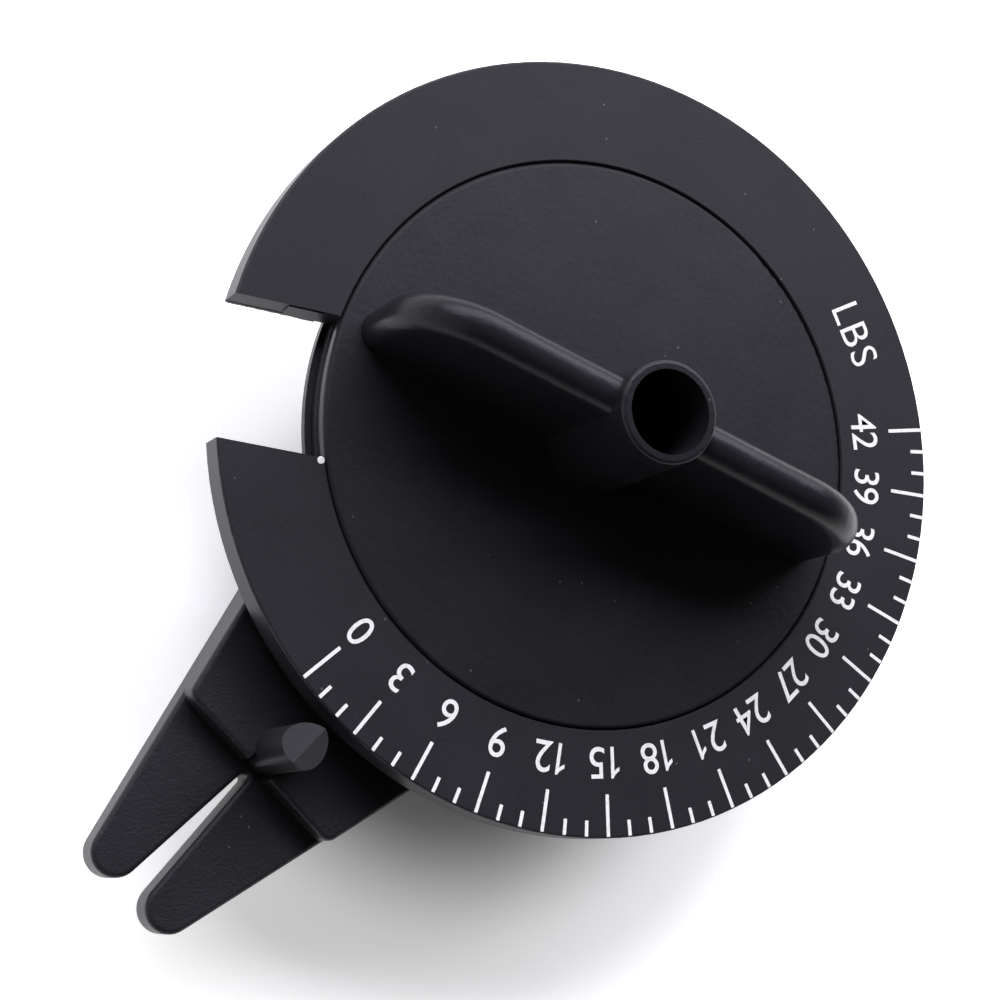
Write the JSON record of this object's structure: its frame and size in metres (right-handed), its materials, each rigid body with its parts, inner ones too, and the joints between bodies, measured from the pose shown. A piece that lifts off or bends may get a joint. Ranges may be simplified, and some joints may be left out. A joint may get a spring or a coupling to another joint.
{
  "type": "racket string tension meter",
  "caption": "Hand-held dial gauge that lies along a racket string, winds a spring with a winged knob and reads the string's tension on a turning scale.",
  "frame": {"origin": "on the knob's axis, at the hub's flat underside that faces the strings", "axes": "+Z along the knob's axis, away from the strings; the fork points along -Y; +X to the right of the fork seen from above with the fork pointing down"},
  "size_m": [0.065, 0.0848, 0.032],
  "materials": {
    "black_moulding": "fine matt moulded grain",
    "spring_steel": "rolled strip",
    "washer_plastic": "turned",
    "insert_brass": "turned",
    "screw_steel": "zinc plated",
    "pin_steel": "ground"
  },
  "bodies": {
    "fork": {"fork_body": "black_moulding", "threaded_insert": "insert_brass", "shoulder_screw": "screw_steel", "head_washer": "screw_steel", "thrust_washer": "washer_plastic", "torsion_spring": "spring_steel", "string_pin_near": "pin_steel", "string_pin_far": "pin_steel"},
    "knob": {"knob": "black_moulding"},
    "dial_ring": {"dial_ring": "black_moulding"}
  },
  "joints": [
    {"name": "knob_turn", "type": "hinge", "parent": "fork", "child": "knob", "pos_m": [0, 0, 0.009], "axis": [0, 0, 1], "range_deg": [-142, 0], "stiffness_Nm_per_rad": 0.339, "springref_deg": 2.86, "deforming": ["torsion_spring"]},
    {"name": "dial_ring_turn", "type": "hinge", "parent": "knob", "child": "dial_ring", "pos_m": [0, 0, 0.0082], "axis": [0, 0, 1], "continuous": true}
  ]
}
